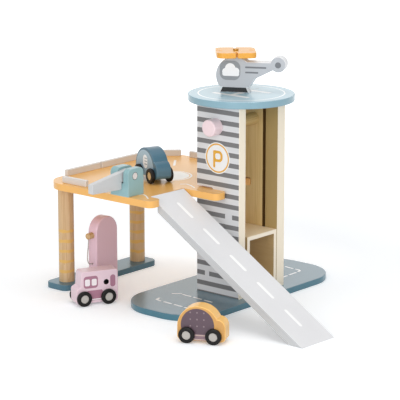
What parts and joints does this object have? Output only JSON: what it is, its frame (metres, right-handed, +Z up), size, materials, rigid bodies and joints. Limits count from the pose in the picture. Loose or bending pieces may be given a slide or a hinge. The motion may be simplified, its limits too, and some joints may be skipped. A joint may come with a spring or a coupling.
{
  "type": "toy parking garage",
  "caption": "Wooden toy parking garage: a tower with a hand-wound lift under a round helipad, a deck on posts with rails, barrier and ramp, a fuel pump, a helicopter and small cars.",
  "frame": {"origin": "middle of the lift tower's footprint, on the underside of the base plate", "axes": "+Z up; +X from the deck towards the foot of the ramp; +Y to the back of the tower"},
  "size_m": [0.4825, 0.4182, 0.363],
  "materials": {
    "base_paint": "satin paint",
    "screw_steel": "plated",
    "striped_wall": "printed",
    "bare_ply": "sanded",
    "roof_paint": "satin paint",
    "deck_paint": "satin paint",
    "foot_paint": "satin paint",
    "post_wood": "banded varnish",
    "rail_paint": "satin paint",
    "ramp_paint": "satin paint",
    "barrier_paint": "satin paint",
    "arm_paint": "satin paint",
    "turned_wood": "sanded",
    "knob_paint": "satin paint",
    "heli_paint": "satin paint",
    "rotor_paint": "satin paint",
    "pump_paint": "satin paint",
    "hose_cord": "braided",
    "yellow_paint": "satin paint",
    "pink_paint": "satin paint",
    "blue_paint": "satin paint",
    "axle_steel": "drawn",
    "tyre_rubber": "matt",
    "hub_paint": "satin paint"
  },
  "bodies": {
    "garage": {"base_plate": "base_paint", "base_screws": "screw_steel", "tower_front_wall": "striped_wall", "tower_back_wall": "bare_ply", "tower_back_panel": "bare_ply", "roof_disc": "roof_paint", "roof_dowels": "bare_ply", "deck": "deck_paint", "foot_bar": "foot_paint", "deck_post_front": "post_wood", "deck_post_back": "post_wood", "rail_front": "rail_paint", "rail_left_front": "rail_paint", "rail_left_back": "rail_paint", "rail_corner": "rail_paint", "rail_back_left": "rail_paint", "rail_back_right": "rail_paint", "ramp_ledge": "ramp_paint", "barrier_block": "barrier_paint", "barrier_pin": "turned_wood"},
    "lift": {"lift_floor": "bare_ply", "lift_top": "bare_ply", "lift_wall_front": "bare_ply", "lift_wall_back": "bare_ply", "lift_guide": "bare_ply"},
    "winder": {"lift_knob": "knob_paint", "lift_spool": "turned_wood"},
    "barrier_arm": {"barrier_arm": "arm_paint"},
    "ramp": {"ramp": "ramp_paint"},
    "helicopter": {"heli_body": "heli_paint", "rotor_screw": "screw_steel"},
    "rotor": {"heli_rotor": "rotor_paint"},
    "pump": {"pump_body": "pump_paint", "pump_nozzle": "turned_wood", "pump_hose": "hose_cord"},
    "yellow_car": {"yellow_car_body": "yellow_paint"},
    "yellow_car_front_wheels": {"yellow_car_front_axle": "axle_steel", "yellow_car_front_tyres": "tyre_rubber", "yellow_car_front_hubs": "hub_paint"},
    "yellow_car_rear_wheels": {"yellow_car_rear_axle": "axle_steel", "yellow_car_rear_tyres": "tyre_rubber", "yellow_car_rear_hubs": "hub_paint"},
    "pink_van": {"pink_van_body": "pink_paint"},
    "pink_van_front_wheels": {"pink_van_front_axle": "axle_steel", "pink_van_front_tyres": "tyre_rubber", "pink_van_front_hubs": "hub_paint"},
    "pink_van_rear_wheels": {"pink_van_rear_axle": "axle_steel", "pink_van_rear_tyres": "tyre_rubber", "pink_van_rear_hubs": "hub_paint"},
    "blue_car": {"blue_car_body": "blue_paint"},
    "blue_car_front_wheels": {"blue_car_front_axle": "axle_steel", "blue_car_front_tyres": "tyre_rubber", "blue_car_front_hubs": "hub_paint"},
    "blue_car_rear_wheels": {"blue_car_rear_axle": "axle_steel", "blue_car_rear_tyres": "tyre_rubber", "blue_car_rear_hubs": "hub_paint"}
  },
  "joints": [
    {"name": "lift_slide", "type": "slide", "parent": "garage", "child": "lift", "axis": [0, 0, 1], "range_m": [0, 0.15]},
    {"name": "winder_spin", "type": "hinge", "parent": "garage", "child": "winder", "pos_m": [-0.004, -0.052, 0.258], "axis": [0, 1, 0], "range_deg": [0, 960]},
    {"name": "barrier_lift", "type": "hinge", "parent": "garage", "child": "barrier_arm", "pos_m": [-0.0815, -0.1573, 0.1947], "axis": [-1, 0, 0], "range_deg": [0, 85]},
    {"name": "ramp_lift_off", "type": "slide", "parent": "garage", "child": "ramp", "axis": [0, 0, 1], "range_m": [0, 0.05]},
    {"name": "helicopter_lift_off", "type": "slide", "parent": "garage", "child": "helicopter", "axis": [0, 0, 1], "range_m": [0, 0.08]},
    {"name": "rotor_spin", "type": "hinge", "parent": "helicopter", "child": "rotor", "pos_m": [-0.0131, 0.0027, 0.3606], "axis": [0, 0, 1], "continuous": true},
    {"name": "pump_lift_off", "type": "slide", "parent": "garage", "child": "pump", "axis": [0, 0, 1], "range_m": [0, 0.04]},
    {"name": "yellow_car_roll", "type": "slide", "parent": "garage", "child": "yellow_car", "axis": [0.9003, 0.4352, 0], "range_m": [-0.06, 0.04]},
    {"name": "yellow_car_front_wheels_spin", "type": "hinge", "parent": "yellow_car", "child": "yellow_car_front_wheels", "pos_m": [0.12728, -0.20724, 0.01125], "axis": [-0.4352, 0.9003, 0], "continuous": true},
    {"name": "yellow_car_rear_wheels_spin", "type": "hinge", "parent": "yellow_car", "child": "yellow_car_rear_wheels", "pos_m": [0.09352, -0.22356, 0.01125], "axis": [-0.4352, 0.9003, 0], "continuous": true},
    {"name": "pink_van_roll", "type": "slide", "parent": "garage", "child": "pink_van", "axis": [-0.4289, -0.9033, 0], "range_m": [-0.01, 0.06]},
    {"name": "pink_van_front_wheels_spin", "type": "hinge", "parent": "pink_van", "child": "pink_van_front_wheels", "pos_m": [-0.14004, -0.19374, 0.01125], "axis": [0.9033, -0.4289, 0], "continuous": true},
    {"name": "pink_van_rear_wheels_spin", "type": "hinge", "parent": "pink_van", "child": "pink_van_rear_wheels", "pos_m": [-0.12396, -0.15986, 0.01125], "axis": [0.9033, -0.4289, 0], "continuous": true},
    {"name": "blue_car_roll", "type": "slide", "parent": "garage", "child": "blue_car", "axis": [0.9348, -0.3551, 0], "range_m": [-0.06, 0.03]},
    {"name": "blue_car_front_wheels_spin", "type": "hinge", "parent": "blue_car", "child": "blue_car_front_wheels", "pos_m": [-0.09557, -0.07086, 0.17725], "axis": [0.3551, 0.9348, 0], "continuous": true},
    {"name": "blue_car_rear_wheels_spin", "type": "hinge", "parent": "blue_car", "child": "blue_car_rear_wheels", "pos_m": [-0.13063, -0.05754, 0.17725], "axis": [0.3551, 0.9348, 0], "continuous": true}
  ],
  "couplings": [
    {"joint": "winder_spin", "follows": "lift_slide", "rad_per_m": 111.11}
  ]
}
